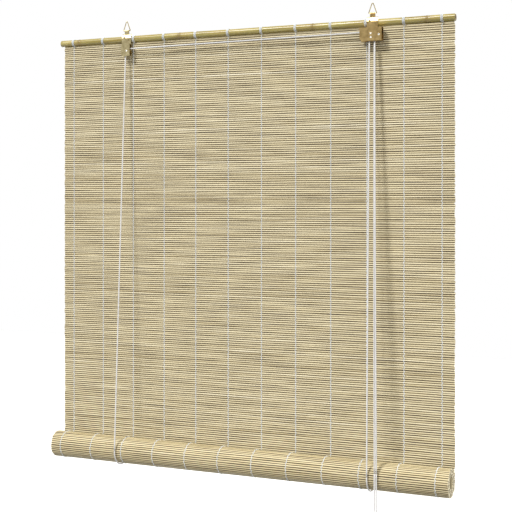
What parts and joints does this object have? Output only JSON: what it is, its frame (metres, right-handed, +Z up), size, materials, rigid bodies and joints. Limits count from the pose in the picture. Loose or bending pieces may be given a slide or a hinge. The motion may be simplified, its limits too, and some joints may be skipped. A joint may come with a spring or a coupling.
{
  "type": "bamboo roll up blind",
  "caption": "Split-bamboo blind on a cane head pole, half rolled up, with a pulley, a cord lock, lift cords round the roll and two wire hanging rings.",
  "frame": {"origin": "midway between the two hanging rings, at the height where a hook bears inside their tops", "axes": "+X along the head pole from the pulley to the lock, -Y to the front, +Z up"},
  "size_m": [0.8065, 0.0749, 1.0039],
  "materials": {
    "bamboo": "satin cane skin",
    "slats": "split bamboo, matt",
    "thread": "twisted warp thread",
    "plated_steel": "thin brass plating on pressed steel",
    "wheel": "turned, satin",
    "cord": "braided white cord"
  },
  "bodies": {
    "head": {"head_pole": "bamboo", "thread_wraps": "thread", "hanging_slats": "slats", "hanging_threads": "thread", "pulley_bracket": "plated_steel", "lock_bracket": "plated_steel", "pulley_bracket_nails": "plated_steel", "lock_bracket_nails": "plated_steel", "pulley_axle": "plated_steel", "roller_rivet": "plated_steel", "anvil_rivet": "plated_steel", "cam_rivet": "plated_steel", "left_cord_in_head": "cord", "right_cord_in_head": "cord", "left_cord_front_run": "cord", "right_cord_front_run": "cord", "left_cord_back_run": "cord", "right_cord_back_run": "cord", "cord_ends": "cord", "cord_end_knots": "cord", "cord_tacks": "plated_steel", "left_pull_cord_upper": "cord", "right_pull_cord_upper": "cord"},
    "left_ring": {"left_ring": "plated_steel"},
    "right_ring": {"right_ring": "plated_steel"},
    "pulley_wheel": {"pulley_wheel": "wheel"},
    "lock_roller": {"lock_roller": "plated_steel"},
    "lock_cam": {"lock_cam": "plated_steel"},
    "lift_loops": {"left_cord_loop": "cord", "right_cord_loop": "cord", "left_pull_cord_lower": "cord", "right_pull_cord_lower": "cord"},
    "roll": {"rolled_mat": "slats", "bottom_lath": "bamboo"},
    "pull_end": {"cord_hank": "cord", "hank_tie": "cord", "pull_cord_tails": "cord", "end_knot": "cord"}
  },
  "joints": [
    {"name": "left_ring_swing", "type": "hinge", "parent": "head", "child": "left_ring", "pos_m": [-0.252, 0, -0.01694], "axis": [1, 0, 0], "range_deg": [-110, 110]},
    {"name": "right_ring_swing", "type": "hinge", "parent": "head", "child": "right_ring", "pos_m": [0.252, 0, -0.01694], "axis": [1, 0, 0], "range_deg": [-110, 110]},
    {"name": "roll_lift", "type": "slide", "parent": "head", "child": "lift_loops", "axis": [0, 0, 1], "range_m": [0, 0.67], "deforming": ["hanging_slats", "hanging_threads", "left_cord_front_run", "right_cord_front_run", "left_cord_back_run", "right_cord_back_run", "left_pull_cord_upper", "right_pull_cord_upper"]},
    {"name": "roll_spin", "type": "hinge", "parent": "lift_loops", "child": "roll", "pos_m": [0, -0.0203, -0.833], "axis": [1, 0, 0], "range_deg": [-1322.2, 0]},
    {"name": "pull_draw", "type": "slide", "parent": "lift_loops", "child": "pull_end", "axis": [0, 0, -1], "range_m": [0, 2.011], "deforming": ["left_pull_cord_lower", "right_pull_cord_lower"]},
    {"name": "pulley_spin", "type": "hinge", "parent": "head", "child": "pulley_wheel", "pos_m": [-0.2483, -0.00585, -0.057], "axis": [0, 1, 0], "continuous": true},
    {"name": "roller_spin", "type": "hinge", "parent": "head", "child": "lock_roller", "pos_m": [0.2517, -0.00735, -0.054], "axis": [0, 1, 0], "continuous": true},
    {"name": "cam_swing", "type": "hinge", "parent": "head", "child": "lock_cam", "pos_m": [0.2669, -0.00735, -0.0565], "axis": [0, 1, 0], "range_deg": [-35, 0]}
  ],
  "couplings": [
    {"joint": "roll_spin", "follows": "roll_lift", "rad_per_m": -34.417},
    {"joint": "pull_draw", "follows": "roll_lift", "ratio": 3},
    {"joint": "pulley_spin", "follows": "roll_lift", "rad_per_m": 526.32},
    {"joint": "roller_spin", "follows": "roll_lift", "rad_per_m": 625}
  ]
}
